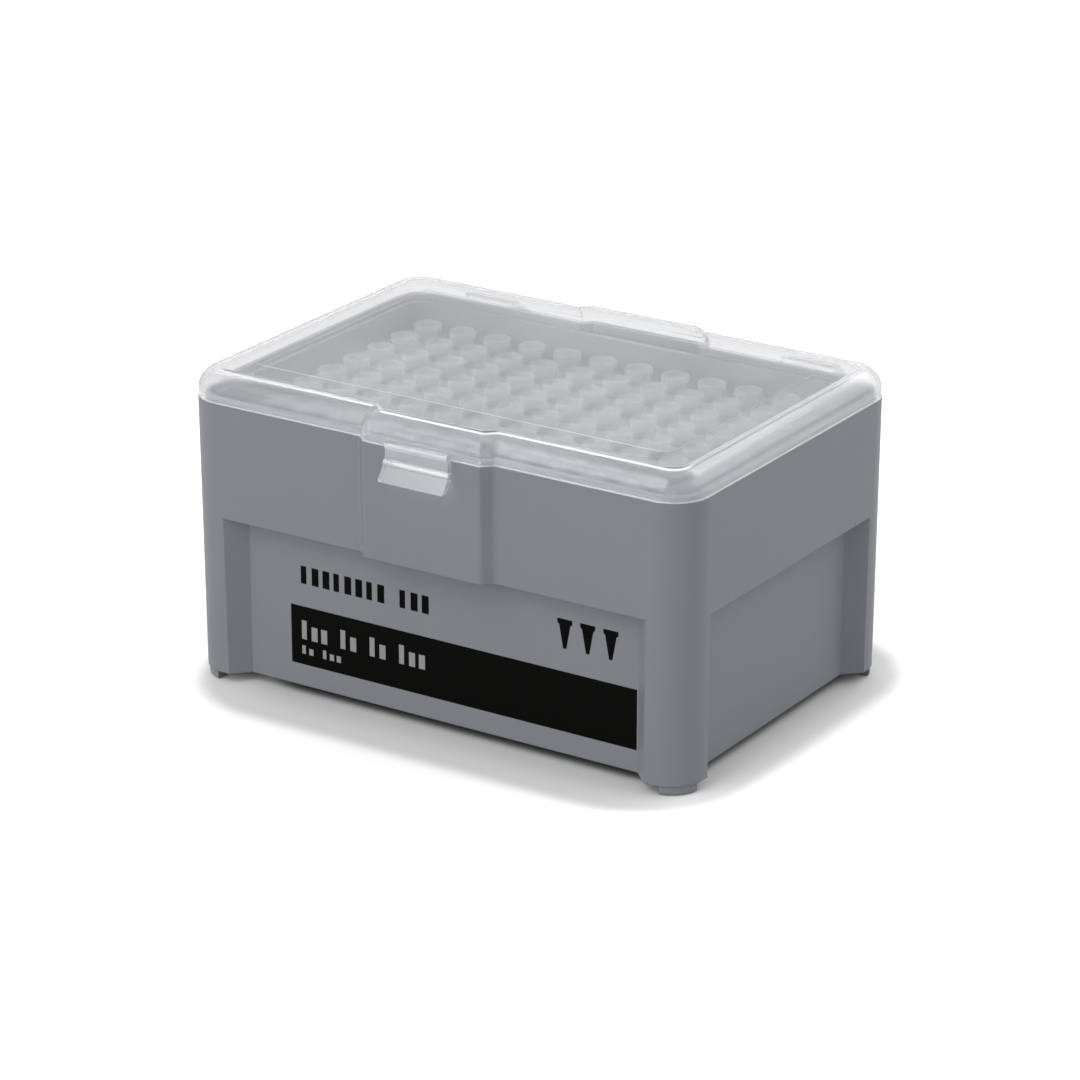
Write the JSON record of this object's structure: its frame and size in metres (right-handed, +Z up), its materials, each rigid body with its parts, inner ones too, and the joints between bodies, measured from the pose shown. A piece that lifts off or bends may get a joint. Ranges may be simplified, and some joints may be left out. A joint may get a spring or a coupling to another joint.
{
  "type": "pipette tip box",
  "caption": "Hinged box of pipette tips: a moulded tub with a snap-in rack plate, columns of tips standing in it, and a clear clip-on lid with a front latch.",
  "frame": {"origin": "middle of the box's footprint, on the surface it stands on", "axes": "+X along the long front, to the viewer's right; +Y from the latch towards the hinge; +Z up"},
  "size_m": [0.1216, 0.0942, 0.0683],
  "materials": {
    "tub_plastic": "mid grey moulded plastic with a fine satin surface",
    "rack_plastic": "lighter grey moulded plastic",
    "clear_plastic": "clear polished plastic",
    "tip_plastic": "natural translucent polypropylene"
  },
  "bodies": {
    "base": {"base_tub": "tub_plastic", "rack_plate": "rack_plastic", "tips_column_01": "tip_plastic", "tips_column_02": "tip_plastic", "tips_column_03": "tip_plastic", "tips_column_04": "tip_plastic", "tips_column_05": "tip_plastic", "tips_column_06": "tip_plastic", "tips_column_07": "tip_plastic", "tips_column_08": "tip_plastic", "tips_column_09": "tip_plastic", "tips_column_10": "tip_plastic", "tips_column_11": "tip_plastic", "tips_column_12": "tip_plastic"},
    "lid": {"lid": "clear_plastic"},
    "latch": {"latch": "clear_plastic"}
  },
  "joints": [
    {"name": "lid_hinge", "type": "hinge", "parent": "base", "child": "lid", "pos_m": [0, 0.04438, 0.0593], "axis": [-1, 0, 0], "range_deg": [0, 110]},
    {"name": "latch_hinge", "type": "hinge", "parent": "lid", "child": "latch", "pos_m": [0, -0.0447, 0.0628], "axis": [-1, 0, 0], "range_deg": [0, 35], "stiffness_Nm_per_rad": 0.002}
  ]
}
